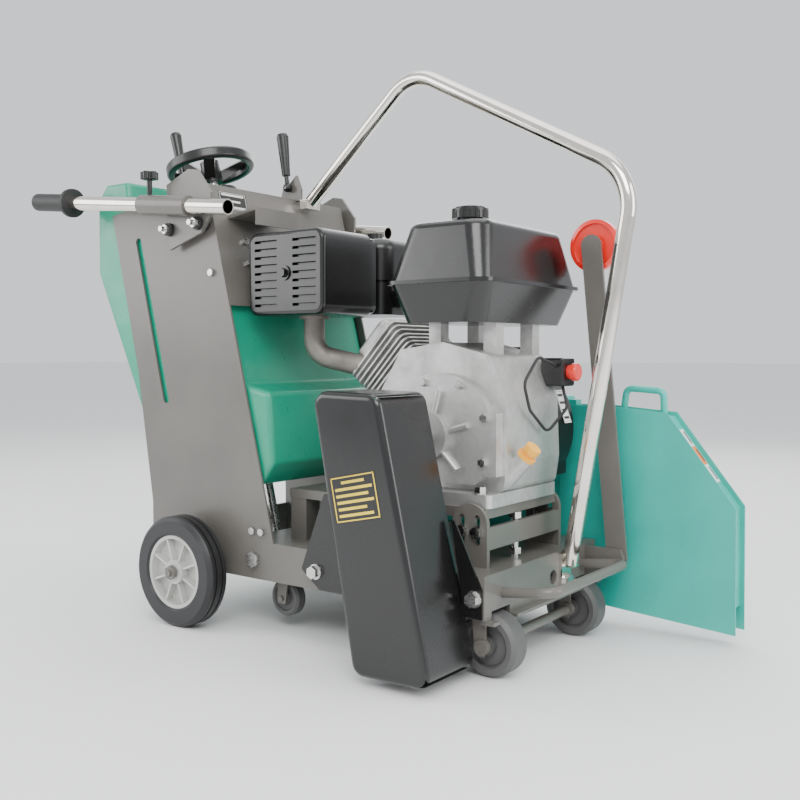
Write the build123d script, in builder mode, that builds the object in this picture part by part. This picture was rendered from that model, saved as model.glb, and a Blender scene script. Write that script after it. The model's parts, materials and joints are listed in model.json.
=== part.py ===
from build123d import *
import math
import os

# Walk-behind concrete saw, in millimetres. X points forward, Y to the left, Z up.
# The model is laid out with X = 0 just ahead of the rear wheels, Y = 0 on the chassis centreline
# and Z = 0 on the floor. At the end it moves so that the origin is under the middle of its box.

# Driving dimensions
HALF_WIDTH = 188
SHEET = 4
RAIL_LOW = 95
DECK_TOP = 162
CHASSIS_REAR = -175
CHASSIS_FRONT = 575
COLUMN_TOP = 802
COLUMN_LEAN = 14
REAR_WHEEL_R = 100
REAR_WHEEL_WIDTH = 46
REAR_WHEEL_IN = 212
REAR_AXLE_X = -40
FRONT_WHEEL_R = 50
FRONT_WHEEL_WIDTH = 44
FRONT_WHEEL_Y = 140
FRONT_AXLE_X = 562
CASTOR_R = 33
CASTOR_X = 134
CASTOR_Y = 138
CASTOR_Z = 58
SWING_PIVOT = (99.5, 130)
HANDWHEEL_X = -210
HANDWHEEL_Z = 880
HANDWHEEL_R = 90
SCREW_R = 9
HANDLE_Y = 228
HANDLE_R = 13.75
HANDLE_RISE = 6.03
SLEEVE_MID = (-83, 763)
CRANK = (420, 360)
BLADE_SHAFT = (488, 92)
BELT_SIDE_Y = -308
GUARD_IN = 202
GUARD_OUT = 252
HOOP_Y = 66
ENGINE_FLOOR = 252
RUNNING_GAP = 0.05

lean = math.radians(COLUMN_LEAN)
screw_up = (-math.sin(lean), 0, math.cos(lean))
slope = math.tan(lean)
finished = {}


def finish(piece, name):
    piece.part.label = name
    finished[name] = piece


def block(x_range, y_range, z_range, mode=Mode.ADD):
    """A box between two limits along each axis."""
    limits = (x_range, y_range, z_range)
    middle = [(low + high) / 2 for low, high in limits]
    size = [high - low for low, high in limits]
    with Locations(tuple(middle)):
        Box(*size, mode=mode)


def side_profile(points, y_range, mode=Mode.ADD, corner=0):
    """A flat outline seen from the side, thickened across the machine."""
    with BuildSketch(Plane.XZ.offset(-y_range[1]), mode=Mode.PRIVATE) as profile:
        Polygon(*points, align=None)
        if corner:
            fillet(profile.vertices(), corner)
    extrude(profile.sketch, amount=y_range[1] - y_range[0], mode=mode)


def rod(start, end, radius, mode=Mode.ADD):
    """A round bar between two points."""
    first = Vector(*start)
    along = Vector(*end) - first
    with BuildSketch(Plane(origin=first, z_dir=along), mode=Mode.PRIVATE) as section:
        Circle(radius)
    extrude(section.sketch, amount=along.length, mode=mode)


def cross_rod(x, z, y_range, radius, mode=Mode.ADD):
    """A round bar that lies across the machine."""
    rod((x, y_range[0], z), (x, y_range[1], z), radius, mode)


def hexagon(start, end, radius):
    """A nut or bolt head between two points."""
    first = Vector(*start)
    along = Vector(*end) - first
    with BuildSketch(Plane(origin=first, z_dir=along), mode=Mode.PRIVATE) as section:
        RegularPolygon(radius, 6)
    extrude(section.sketch, amount=along.length)


def screw_point(z):
    """The point of the lead screw's axis at height z."""
    return (HANDWHEEL_X + (HANDWHEEL_Z - z) * slope, 0, z)


# ---------------------------------------------------------------- chassis and column

with BuildPart() as chassis_frame:
    block((60, CHASSIS_FRONT), (-184, 184), (DECK_TOP - 6, DECK_TOP))
    block((CHASSIS_FRONT - 8, CHASSIS_FRONT), (-184, 184), (88, DECK_TOP))
    block((CHASSIS_FRONT, CHASSIS_FRONT + 14), (-184, 184), (88, 93))
    block((CHASSIS_REAR, CHASSIS_REAR + 8), (-184, 184), (100, DECK_TOP))
    rod((CHASSIS_FRONT - 20, 30, 122), (CHASSIS_FRONT + 20, 30, 122), 12, mode=Mode.SUBTRACT)
    for middle in (-FRONT_WHEEL_Y, FRONT_WHEEL_Y):
        block((540, 600), (middle - 27, middle + 27), (80, 106), mode=Mode.SUBTRACT)
finish(chassis_frame, "chassis_frame")

plate_outline = [
    (CHASSIS_REAR, RAIL_LOW),
    (CHASSIS_FRONT, RAIL_LOW),
    (CHASSIS_FRONT, DECK_TOP),
    (144.5, DECK_TOP),
    (-16, COLUMN_TOP),
    (-288, 765),
    (-214, 460),
    (CHASSIS_REAR, 210),
]
slot_low = 400
slot_high = 716
slot_low_x = -132
slot_lean = slope * (slot_high - slot_low)


def side_plate(name, y_range):
    with BuildPart() as plate:
        side_profile(plate_outline, y_range)
        window = [
            (slot_low_x - 8, slot_low),
            (slot_low_x + 8, slot_low),
            (slot_low_x + 8 - slot_lean, slot_high),
            (slot_low_x - 8 - slot_lean, slot_high),
        ]
        side_profile(window, y_range, mode=Mode.SUBTRACT, corner=7)
        block((-66, -20), y_range, (RAIL_LOW - 5, 128), mode=Mode.SUBTRACT)
        cross_rod(-43, 128, y_range, 23, mode=Mode.SUBTRACT)
        cross_rod(SWING_PIVOT[0], SWING_PIVOT[1], y_range, 8, mode=Mode.SUBTRACT)
        cross_rod(BLADE_SHAFT[0], BLADE_SHAFT[1], y_range, 20, mode=Mode.SUBTRACT)
    finish(plate, name)


side_plate("side_plate_right", (-HALF_WIDTH, -HALF_WIDTH + SHEET))
side_plate("side_plate_left", (HALF_WIDTH - SHEET, HALF_WIDTH))

# The front panel leans with the column and folds back into the top panel.
panel_low = 580
panel_low_x = 144.5 - (panel_low - DECK_TOP) * 160.5 / 640
panel_inner = HALF_WIDTH - SHEET
with BuildPart() as column_panel:
    panel_outline = [
        (panel_low_x, panel_low),
        (-16, COLUMN_TOP),
        (-236, 773),
        (-236, 769),
        (-19.5, 797.6),
        (panel_low_x - 4, panel_low),
    ]
    side_profile(panel_outline, (-panel_inner, panel_inner))
    rod(screw_point(700), screw_point(840), 16, mode=Mode.SUBTRACT)
    with Locations((-75, 30, 790)):
        Cylinder(5, 40, mode=Mode.SUBTRACT)
    # A folded shelf stands out above the muffler.
    side_profile([(0, 741), (72, 752), (72, 756), (-2, 746)], (-150, -40))
    side_profile([(68, 725), (72, 725), (72, 756), (68, 756)], (-150, -40))
finish(column_panel, "column_panel")

bolt_seats = [(12, -120, 700), (12, 120, 700), (22, -120, 660), (22, 120, 660)]
with BuildPart() as panel_bolts:
    for x, y, z in bolt_seats:
        base = (144.5 - (z - DECK_TOP) * 160.5 / 640, y, z)
        tip = (base[0] + 7, y, z + 1.8)
        hexagon(base, tip, 7)

# ---------------------------------------------------------------- water tank

tank_half = panel_inner - 3
tank_wall = 5
with BuildPart() as water_tank:
    tank_outline = [
        (-150, 245),
        (-345, 655),
        (-345, 800),
        (-318, 830),
        (-250, 830),
        (-243, 765),
        (-34, 765),
        (32, 560),
        (62, 440),
        (128, 425),
        (138, 300),
        (110, 262),
    ]
    side_profile(tank_outline, (-tank_half, tank_half), corner=10)
    fillet(water_tank.faces().sort_by(Axis.Y)[0].edges(), 9)
    fillet(water_tank.faces().sort_by(Axis.Y)[-1].edges(), 9)
    with BuildSketch(Plane.XZ.offset(-tank_half + tank_wall)):
        Polygon(*tank_outline, align=None)
        offset(amount=-tank_wall - 1)
    extrude(amount=2 * (tank_half - tank_wall), mode=Mode.SUBTRACT)
with BuildPart() as screw_tunnel:
    rod(screw_point(200), screw_point(850), 26)
with BuildPart() as tunnel_bore:
    rod(screw_point(100), screw_point(900), 20)
with BuildPart() as tank_envelope:
    side_profile(tank_outline, (-30, 30), corner=10)
water_tank.part = water_tank.part + (screw_tunnel.part & tank_envelope.part) - tunnel_bore.part
finish(water_tank, "water_tank")

# The brass outlet sits under the tank, with a hose barb that points forward.
outlet_x = 60
outlet_y = 130
barb_z = 226
barb_r = 6.5
barb_start = outlet_x + 12
barb_end = barb_start + 24
with BuildPart() as tank_outlet:
    rod((outlet_x, outlet_y, 252.5), (outlet_x, outlet_y, 214), 11)
    rod((outlet_x, outlet_y, barb_z), (barb_start, outlet_y, barb_z), barb_r + 2.5)
    rod((barb_start, outlet_y, barb_z), (barb_end, outlet_y, barb_z), barb_r)
with BuildPart() as tank_boss:
    hexagon((outlet_x, outlet_y, 252.5), (outlet_x, outlet_y, 246), 16)
tank_outlet.part = tank_outlet.part + (tank_boss.part - water_tank.part)
tank_outlet.part = tank_outlet.part - water_tank.part
finish(tank_outlet, "tank_outlet")

# ---------------------------------------------------------------- lifting screw and swing frame

screw_foot = screw_point(64)
screw_head = screw_point(HANDWHEEL_Z)
wheel_plane = Plane(origin=screw_head, x_dir=(math.cos(lean), 0, math.sin(lean)), z_dir=screw_up)
grip_angle = math.radians(195)
grip_seat = (68 * math.cos(grip_angle), 68 * math.sin(grip_angle))
grip_low = 12
grip_length = 84

with BuildPart() as lead_screw:
    rod(screw_foot, screw_point(HANDWHEEL_Z - 12), SCREW_R)
finish(lead_screw, "lead_screw")

with BuildPart() as screw_bearing:
    rod(screw_point(779), screw_point(815), 22)
    rod(screw_point(779), screw_point(786), 30)
    rod(screw_point(700), screw_point(860), SCREW_R + RUNNING_GAP, mode=Mode.SUBTRACT)
screw_bearing.part = screw_bearing.part - column_panel.part

with BuildPart() as handwheel:
    with BuildSketch(wheel_plane.offset(-34)):
        Circle(20)
    extrude(amount=44)
    with BuildSketch(wheel_plane.offset(-11)):
        Circle(HANDWHEEL_R)
        Circle(HANDWHEEL_R - 16, mode=Mode.SUBTRACT)
    extrude(amount=22)
    fillet(handwheel.edges().filter_by(GeomType.CIRCLE).sort_by(SortBy.RADIUS)[-4:], 5)
    for spoke in range(3):
        turn = math.degrees(grip_angle) + 120 * spoke
        spoke_plane = wheel_plane.rotated((0, 0, turn))
        with BuildSketch(Plane(origin=spoke_plane.origin, x_dir=spoke_plane.x_dir, z_dir=-spoke_plane.y_dir)):
            Polygon((12, -32), (12, -12), (78, 6), (78, -8), align=None)
        extrude(amount=11, both=True)
    rod(screw_point(500), screw_point(HANDWHEEL_Z - 12), SCREW_R, mode=Mode.SUBTRACT)
    with BuildSketch(wheel_plane.offset(0)):
        with Locations(grip_seat):
            Circle(9)
    extrude(amount=grip_low)
    with BuildSketch(wheel_plane.offset(grip_low)):
        with Locations(grip_seat):
            Circle(4)
    extrude(amount=grip_length + 1)

grip_plane = Plane(
    origin=wheel_plane.from_local_coords(Vector(grip_seat[0], grip_seat[1], grip_low + 0.5)),
    x_dir=wheel_plane.x_dir,
    z_dir=wheel_plane.z_dir,
)
with BuildPart() as grip_room:
    with BuildSketch(grip_plane.offset(-0.3)):
        Circle(16)
        Circle(4, mode=Mode.SUBTRACT)
    extrude(amount=grip_length + 10)
handwheel.part = handwheel.part - grip_room.part
handwheel_pieces = handwheel.part.solids().sort_by(SortBy.VOLUME)
handwheel.part = Part(handwheel_pieces[-1].wrapped)
finish(handwheel, "handwheel")

taper = [(8.5, 0), (12.5, grip_length - 6), (10, grip_length)]


def tapered_grip(plane, bore):
    """A turned grip that widens upwards, with a bore for its pin."""
    with BuildPart() as grip:
        with BuildSketch(Plane.XZ) as half:
            Polygon((bore, 0), *taper, (bore, grip_length), align=None)
        revolve(axis=Axis.Z)
        fillet(grip.edges().filter_by(GeomType.CIRCLE).sort_by(SortBy.RADIUS)[-1], 3)
    return plane.location * grip.part


with BuildPart() as handwheel_grip:
    add(tapered_grip(grip_plane, 4 + RUNNING_GAP))
finish(handwheel_grip, "handwheel_grip")

# Swing frame: two long arms on a pivot shaft carry the stub axles and the ears of the lift nut.
pivot_x, pivot_z = SWING_PIVOT
nut_reach = 119.2
nut_drop = math.radians(18)
nut_x = pivot_x - nut_reach * math.cos(nut_drop)
nut_z = pivot_z - nut_reach * math.sin(nut_drop)
trunnion_r = 6
trunnion_play = 3

with BuildPart() as pivot_shaft:
    cross_rod(pivot_x, pivot_z, (-HALF_WIDTH - 6, HALF_WIDTH + 6), 8)
    for side in (-1, 1):
        hexagon((pivot_x, side * HALF_WIDTH, pivot_z), (pivot_x, side * (HALF_WIDTH + 9), pivot_z), 15)
finish(pivot_shaft, "pivot_shaft")

arm_y = (158, 166)
beam_x = 32
with BuildPart() as swing_frame:
    cross_rod(pivot_x, pivot_z, (-arm_y[1], arm_y[1]), 14)
    for side in (-1, 1):
        arm_range = tuple(sorted((side * arm_y[0], side * arm_y[1])))
        arm = [(pivot_x, 144), (-40, 117), (-57, 100), (-40, 83), (pivot_x, 116)]
        side_profile(arm, arm_range)
        cross_rod(REAR_AXLE_X, REAR_WHEEL_R, arm_range, 17)
        ear_range = tuple(sorted((side * 18, side * 25)))
        side_profile([(beam_x, 130), (nut_x - 12, nut_z + 10), (nut_x - 12, nut_z - 10), (beam_x, 88)], ear_range)
        cross_rod(nut_x, nut_z, ear_range, trunnion_r + trunnion_play, mode=Mode.SUBTRACT)
    block((beam_x - 4, beam_x + 20), (-arm_y[1], arm_y[1]), (96, 124))
    cross_rod(pivot_x, pivot_z, (-200, 200), 8 + RUNNING_GAP, mode=Mode.SUBTRACT)
    for side in (-1, 1):
        cross_rod(REAR_AXLE_X, REAR_WHEEL_R, tuple(sorted((side * 150, side * 170))), 10, mode=Mode.SUBTRACT)
finish(swing_frame, "swing_frame")

with BuildPart() as rear_axles:
    for side in (-1, 1):
        ends = tuple(sorted((side * 152, side * 256)))
        cross_rod(REAR_AXLE_X, REAR_WHEEL_R, ends, 10)
        collar = tuple(sorted((side * 196, side * 209)))
        cross_rod(REAR_AXLE_X, REAR_WHEEL_R, collar, 14)
        nut_start = (REAR_AXLE_X, side * 256, REAR_WHEEL_R)
        hexagon(nut_start, (REAR_AXLE_X, side * 264, REAR_WHEEL_R), 13)
        cross_rod(REAR_AXLE_X, REAR_WHEEL_R, tuple(sorted((side * 264, side * 268))), 6)

with BuildPart() as lift_nut:
    nut_centre = screw_point(nut_z)
    nut_plane = Plane(origin=nut_centre, x_dir=(math.cos(lean), 0, math.sin(lean)), z_dir=screw_up)
    with BuildSketch(nut_plane.offset(-11)):
        Rectangle(28, 30)
    extrude(amount=22)
    cross_rod(nut_centre[0], nut_centre[2], (-28, 28), trunnion_r)
    rod(screw_point(20), screw_point(200), SCREW_R + RUNNING_GAP, mode=Mode.SUBTRACT)
finish(lift_nut, "lift_nut")

# ---------------------------------------------------------------- wheels


def wheel_section(points, centre, mode=Mode.ADD):
    """Turn a half section, given as (radius, across) points, about an axle."""
    plane = Plane(origin=centre, x_dir=(1, 0, 0), z_dir=(0, 0, -1))
    with BuildSketch(plane, mode=Mode.PRIVATE) as half:
        Polygon(*points, align=None)
    revolve(half.sketch, axis=Axis(centre, (0, 1, 0)), mode=mode)


def rear_wheel(name, side):
    centre = (REAR_AXLE_X, side * (REAR_WHEEL_IN + REAR_WHEEL_WIDTH / 2), REAR_WHEEL_R)
    half = REAR_WHEEL_WIDTH / 2
    face = -side * half
    with BuildPart() as hub:
        wheel_section([(10.05, -half + 2), (10.05, half - 4), (22, half - 4), (22, -half + 2)], centre)
        wheel_section([(20, -3), (20, 3), (64, 3), (64, -3)], centre)
        wheel_section([(60, -half + 4), (60, half - 4), (66, half - 4), (66, -half + 4)], centre)
        for rib in range(8):
            angle = math.radians(45 * rib + 20)
            mid = (centre[0] + 41 * math.cos(angle), centre[1], centre[2] + 41 * math.sin(angle))
            with Locations(Location(mid, (0, -math.degrees(angle), 0))):
                Box(44, REAR_WHEEL_WIDTH - 14, 4)
        cross_rod(centre[0], centre[2], (centre[1] - 30, centre[1] + 30), 10.05, mode=Mode.SUBTRACT)
    finish(hub, "rear_hub_" + name)
    with BuildPart() as tyre:
        tread = [
            (66, -half + 4),
            (70, -half),
            (92, -half),
            (REAR_WHEEL_R - 2, -half + 5),
            (REAR_WHEEL_R, -half + 8),
            (REAR_WHEEL_R, half - 8),
            (REAR_WHEEL_R - 2, half - 5),
            (92, half),
            (70, half),
            (66, half - 4),
        ]
        wheel_section(tread, centre)
        for groove in (-7, 7):
            ring = [(96, groove - 1.2), (96, groove + 1.2), (101, groove + 1.8), (101, groove - 1.8)]
            wheel_section(ring, centre, mode=Mode.SUBTRACT)
    finish(tyre, "rear_tyre_" + name)


rear_wheel("right", -1)
rear_wheel("left", 1)

with BuildPart() as front_axle:
    cross_rod(FRONT_AXLE_X, FRONT_WHEEL_R, (-177, 177), 8)

with BuildPart() as wheel_brackets:
    hanger = [
        (FRONT_AXLE_X - 24, DECK_TOP - 6),
        (FRONT_AXLE_X - 14, 40),
        (FRONT_AXLE_X - 4, 34),
        (FRONT_AXLE_X + 2, 34),
        (FRONT_AXLE_X + 4.5, 60),
        (FRONT_AXLE_X + 4.5, DECK_TOP - 6),
    ]
    for middle in (-FRONT_WHEEL_Y, FRONT_WHEEL_Y):
        for side in (-1, 1):
            near = middle + side * (FRONT_WHEEL_WIDTH / 2 + 5)
            far = near + side * 5
            side_profile(hanger, tuple(sorted((near, far))))
    for middle in (-FRONT_WHEEL_Y, FRONT_WHEEL_Y):
        cross_rod(FRONT_AXLE_X, FRONT_WHEEL_R, (middle - 38, middle + 38), 12)
        gap = FRONT_WHEEL_WIDTH / 2 + 5
        cross_rod(FRONT_AXLE_X, FRONT_WHEEL_R, (middle - gap, middle + gap), 20, mode=Mode.SUBTRACT)
    cross_rod(FRONT_AXLE_X, FRONT_WHEEL_R, (-200, 200), 8, mode=Mode.SUBTRACT)
finish(wheel_brackets, "wheel_brackets")


def front_wheel(name, middle):
    """A small solid wheel with a boss, a recessed web and a rounded tread."""
    half = FRONT_WHEEL_WIDTH / 2
    profile = [
        (8.05, -half - 3),
        (15, -half - 3),
        (15, -half + 8),
        (31, -half + 8),
        (33, -half + 2),
        (36, -half),
        (44, -half),
        (FRONT_WHEEL_R, -half + 7),
        (FRONT_WHEEL_R, half - 7),
        (44, half),
        (36, half),
        (33, half - 2),
        (31, half - 8),
        (15, half - 8),
        (15, half + 3),
        (8.05, half + 3),
    ]
    with BuildPart() as wheel:
        wheel_section(profile, (FRONT_AXLE_X, middle, FRONT_WHEEL_R))
    finish(wheel, "front_wheel_" + name)


front_wheel("right", -FRONT_WHEEL_Y)
front_wheel("left", FRONT_WHEEL_Y)

with BuildPart() as castor_forks:
    for middle in (-CASTOR_Y, CASTOR_Y):
        block((CASTOR_X - 22, CASTOR_X + 26), (middle - 19, middle + 19), (DECK_TOP - 12, DECK_TOP - 6))
        for side in (-1, 1):
            cheek = tuple(sorted((middle + side * 15, middle + side * 19)))
            plate = [
                (CASTOR_X - 10, DECK_TOP - 12),
                (CASTOR_X - 9, CASTOR_Z - 9),
                (CASTOR_X + 9, CASTOR_Z - 9),
                (CASTOR_X + 24, DECK_TOP - 12),
            ]
            side_profile(plate, cheek)
        cross_rod(CASTOR_X, CASTOR_Z, (middle - 23, middle + 23), 5)


def castor_wheel(name, middle):
    with BuildPart() as castor:
        profile = [
            (5.05, -12.5),
            (5.05, 12.5),
            (12, 12.5),
            (14, 8),
            (22, 8),
            (24, 12),
            (29, 12),
            (CASTOR_R, 8),
            (CASTOR_R, -8),
            (29, -12),
            (24, -12),
            (22, -8),
            (14, -8),
            (12, -12.5),
        ]
        wheel_section(profile, (CASTOR_X, middle, CASTOR_Z))
    finish(castor, "castor_wheel_" + name)


castor_wheel("right", -CASTOR_Y)
castor_wheel("left", CASTOR_Y)

# ---------------------------------------------------------------- handlebars

rise = math.radians(HANDLE_RISE)
rearward = (-math.cos(rise), 0, math.sin(rise))


def handle_point(distance, side):
    """A point on a handlebar's axis, so far behind the middle of its sleeve."""
    x = SLEEVE_MID[0] + distance * rearward[0]
    return (x, side * HANDLE_Y, SLEEVE_MID[1] + distance * rearward[2])


bar_front = -164
bar_rear = 388
grip_front = 276
sleeve_half = 64


def handlebar(name, side):
    with BuildPart() as tube:
        rod(handle_point(bar_front, side), handle_point(bar_rear, side), HANDLE_R)
        rod(handle_point(bar_front - 1, side), handle_point(bar_rear, side), HANDLE_R - 2, mode=Mode.SUBTRACT)
    finish(tube, "handlebar_" + name)
    with BuildPart() as grip:
        rod(handle_point(grip_front, side), handle_point(grip_front + 8, side), 28)
        rod(handle_point(grip_front, side), handle_point(bar_rear, side), 17.5)
        rod(handle_point(grip_front - 1, side), handle_point(bar_rear, side), HANDLE_R, mode=Mode.SUBTRACT)
        rod(handle_point(bar_rear, side), handle_point(bar_rear + 5, side), 17.5)
    finish(grip, "handle_grip_" + name)


def handle_bracket(name, side):
    plate_y = tuple(sorted((side * 199, side * 205)))
    outer_y = tuple(sorted((side * 199, side * 222)))
    with BuildPart() as bracket:
        gusset = [(-106, 805), (-46, 828), (-22, 824), (12, 781), (12, 740), (-14, 711), (-99, 685)]
        side_profile(gusset, plate_y)
        bridge = [(-130, 775), (-36, 765), (-36, 753), (-130, 763)]
        side_profile(bridge, outer_y)
        rod(handle_point(-sleeve_half, side), handle_point(sleeve_half, side), 18)
        far = sleeve_half + 10
        rod(handle_point(-far, side), handle_point(far, side), HANDLE_R + RUNNING_GAP, mode=Mode.SUBTRACT)
        for x, z in isolator_seats:
            cross_rod(x, z, (side * 210, side * 190), 5, mode=Mode.SUBTRACT)
        seat = handle_point(knob_seat, side)
        rod(seat, (seat[0], seat[1], seat[2] + 30), 4.05, mode=Mode.SUBTRACT)
    finish(bracket, "handle_bracket_" + name)


isolator_seats = [(-97, 722), (-20, 728)]
knob_seat = 43
for side_name, side in (("right", -1), ("left", 1)):
    handlebar(side_name, side)
    handle_bracket(side_name, side)

with BuildPart() as handle_isolators:
    for side in (-1, 1):
        for x, z in isolator_seats:
            cross_rod(x, z, tuple(sorted((side * HALF_WIDTH, side * 199))), 12)
            cross_rod(x, z, tuple(sorted((side * 205, side * 212))), 12)
    for side in (-1, 1):
        for x, z in isolator_seats:
            cross_rod(x, z, tuple(sorted((side * 186, side * 214))), 5, mode=Mode.SUBTRACT)
finish(handle_isolators, "handle_isolators")

with BuildPart() as isolator_studs:
    for side in (-1, 1):
        for x, z in isolator_seats:
            cross_rod(x, z, tuple(sorted((side * HALF_WIDTH, side * 229))), 5)
            hexagon((x, side * 212, z), (x, side * 220, z), 9)


def clamp_knob(name, side, distance):
    """A star knob on a long stem, screwed down through the sleeve onto the bar."""
    foot = handle_point(distance, side)
    with BuildPart() as knob:
        rod((foot[0], foot[1], foot[2] + 14.6), (foot[0], foot[1], foot[2] + 30), 4)
        rod((foot[0], foot[1], foot[2] + 21), (foot[0], foot[1], foot[2] + 48), 5)
        rod((foot[0], foot[1], foot[2] + 46), (foot[0], foot[1], foot[2] + 60), 12)
        for lobe in range(5):
            angle = math.radians(72 * lobe)
            x = foot[0] + 11 * math.cos(angle)
            y = foot[1] + 11 * math.sin(angle)
            rod((x, y, foot[2] + 47), (x, y, foot[2] + 60), 6)
    finish(knob, name)


clamp_knob("clamp_knob_right", -1, knob_seat)
clamp_knob("clamp_knob_left", 1, knob_seat)

# ---------------------------------------------------------------- lifting hoop and bumper


def bent_tube(points, radii, outer, inner):
    """A tube whose centre line runs straight between rounded corners."""
    with BuildPart() as tube:
        with BuildLine() as route:
            FilletPolyline(*points, radius=radii)
        start = Plane(origin=route.line @ 0, z_dir=route.line % 0)
        with BuildSketch(start):
            Circle(outer)
            if inner:
                Circle(inner, mode=Mode.SUBTRACT)
        sweep(path=route.line)
    return tube.part


hoop_route = [
    (587, HOOP_Y, 140),
    (695, HOOP_Y, 780),
    (260, HOOP_Y, 1013),
    (10, HOOP_Y, 797),
]
with BuildPart() as lifting_hoop:
    add(bent_tube(hoop_route, [95, 75], 13.5, 11.5))
    block((CHASSIS_FRONT, CHASSIS_FRONT + 6), (HOOP_Y - 17, HOOP_Y + 17), (96, 158))
    block((CHASSIS_FRONT + 3, CHASSIS_FRONT + 24), (HOOP_Y - 11, HOOP_Y + 11), (136, 150))
    block((-2, 16), (HOOP_Y - 20, HOOP_Y + 20), (782, 800))
lifting_hoop.part = lifting_hoop.part - column_panel.part - chassis_frame.part
hoop_pieces = lifting_hoop.part.solids().sort_by(SortBy.VOLUME)
lifting_hoop.part = Part(hoop_pieces[-1].wrapped)
finish(lifting_hoop, "lifting_hoop")

with BuildPart() as hoop_bolts:
    bolt_x = CHASSIS_FRONT + 6
    hexagon((bolt_x, HOOP_Y, 112), (bolt_x + 8, HOOP_Y, 112), 11)
    rod((bolt_x, HOOP_Y, 112), (bolt_x + 2, HOOP_Y, 112), 13)

bumper_y = 132
bumper_route = [
    (CHASSIS_FRONT, -bumper_y, 128),
    (660, -bumper_y, 138),
    (660, bumper_y, 138),
    (CHASSIS_FRONT, bumper_y, 128),
]
with BuildPart() as front_bumper:
    add(bent_tube(bumper_route, [24, 24], 8, 0))
front_bumper.part = front_bumper.part - chassis_frame.part

# ---------------------------------------------------------------- engine base

ear_sides = ((-137, -129), (100, 108))
ear_low_x = 484
ear_high_x = 548
with BuildPart() as engine_base:
    for ear_y in ear_sides:
        block((ear_low_x, ear_high_x), ear_y, (DECK_TOP, 228))
        cross_rod((ear_low_x + ear_high_x) / 2, 228, ear_y, (ear_high_x - ear_low_x) / 2)
        for slot_x in (502, 530):
            block((slot_x - 5, slot_x + 5), ear_y, (200, 238), mode=Mode.SUBTRACT)
            cross_rod(slot_x, 238, ear_y, 5, mode=Mode.SUBTRACT)
            cross_rod(slot_x, 200, ear_y, 5, mode=Mode.SUBTRACT)
    block((ear_high_x - 8, ear_high_x), (-137, 108), (189, 224))
    for post_x in (150, 290):
        for post_y in (-110, 80):
            block((post_x - 18, post_x + 18), (post_y - 18, post_y + 18), (DECK_TOP, 236))
finish(engine_base, "engine_base")

with BuildPart() as engine_plate:
    block((130, 540), (-129, 100), (236, ENGINE_FLOOR))
    block((280, 400), (-50, 40), (230, 256), mode=Mode.SUBTRACT)

tension_x = 536
with BuildPart() as tension_bolt:
    rod((tension_x, -30, DECK_TOP), (tension_x, -30, 236), 6)
    hexagon((tension_x, -30, 168), (tension_x, -30, 178), 11)
    hexagon((tension_x, -30, 226), (tension_x, -30, 236), 11)
tension_bolt.part = tension_bolt.part - engine_base.part

foot_seats = [(520, -112), (520, 82), (330, -112), (330, 82)]
foot_top = 272
with BuildPart() as foot_bolts:
    for x, y in foot_seats:
        rod((x, y, foot_top), (x, y, foot_top + 2), 12)
        hexagon((x, y, foot_top + 2), (x, y, foot_top + 12), 10)
    for ear_y in ear_sides:
        outer = ear_y[0] if ear_y[0] < 0 else ear_y[1]
        step = -1 if ear_y[0] < 0 else 1
        for slot_x in (502, 530):
            hexagon((slot_x, outer, 216), (slot_x, outer + step * 9, 216), 10)

# ---------------------------------------------------------------- engine

crank_x, crank_z = CRANK
stick_dir = (0.673, 0, 0.740)
stick_foot = (553, -60, 308.7)


def stick_point(distance):
    return tuple(foot + distance * step for foot, step in zip(stick_foot, stick_dir))


case_outline = [
    (300, foot_top),
    (545, foot_top),
    (552, 320),
    (548, 420),
    (520, 490),
    (430, 512),
    (345, 500),
    (296, 420),
]
with BuildPart() as crankcase:
    side_profile(case_outline, (-84, 92), corner=12)
    block((300, 545), (-125, 96), (ENGINE_FLOOR, foot_top + 1))
    fillet(crankcase.edges().filter_by(Axis.Z), 8)
    for x, y in foot_seats:
        rod((x, y, foot_top), (x, y, foot_top + 20), 13.5, mode=Mode.SUBTRACT)
    cross_rod(crank_x, crank_z, (-140, 140), 15, mode=Mode.SUBTRACT)
    rod(stick_point(-26), stick_point(26.8), 15)
    rod(stick_point(-4), stick_point(60), 8.1, mode=Mode.SUBTRACT)
finish(crankcase, "crankcase")

cover_bolt_circle = 92
with BuildPart() as crankcase_cover:
    cross_rod(crank_x + 18, crank_z, (-106, -84), 102)
    block((crank_x - 60, 545), (-106, -84), (300, 400))
    cross_rod(crank_x, crank_z, (-122, -100), 40)
    for rib in range(6):
        angle = math.radians(60 * rib + 15)
        tip = (crank_x + 76 * math.cos(angle), -109, crank_z + 76 * math.sin(angle))
        rod((crank_x, -109, crank_z), tip, 5)
    cross_rod(crank_x, crank_z, (-140, 0), 14.1, mode=Mode.SUBTRACT)
    block((200, 700), (-150, -50), (200, foot_top + 12.5), mode=Mode.SUBTRACT)
finish(crankcase_cover, "crankcase_cover")

with BuildPart() as cover_bolts:
    for step in range(8):
        angle = math.radians(45 * step + 20)
        x = crank_x + 18 + cover_bolt_circle * math.cos(angle)
        z = crank_z + cover_bolt_circle * math.sin(angle)
        if z > foot_top + 20:
            hexagon((x, -106, z), (x, -113, z), 7)

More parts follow.
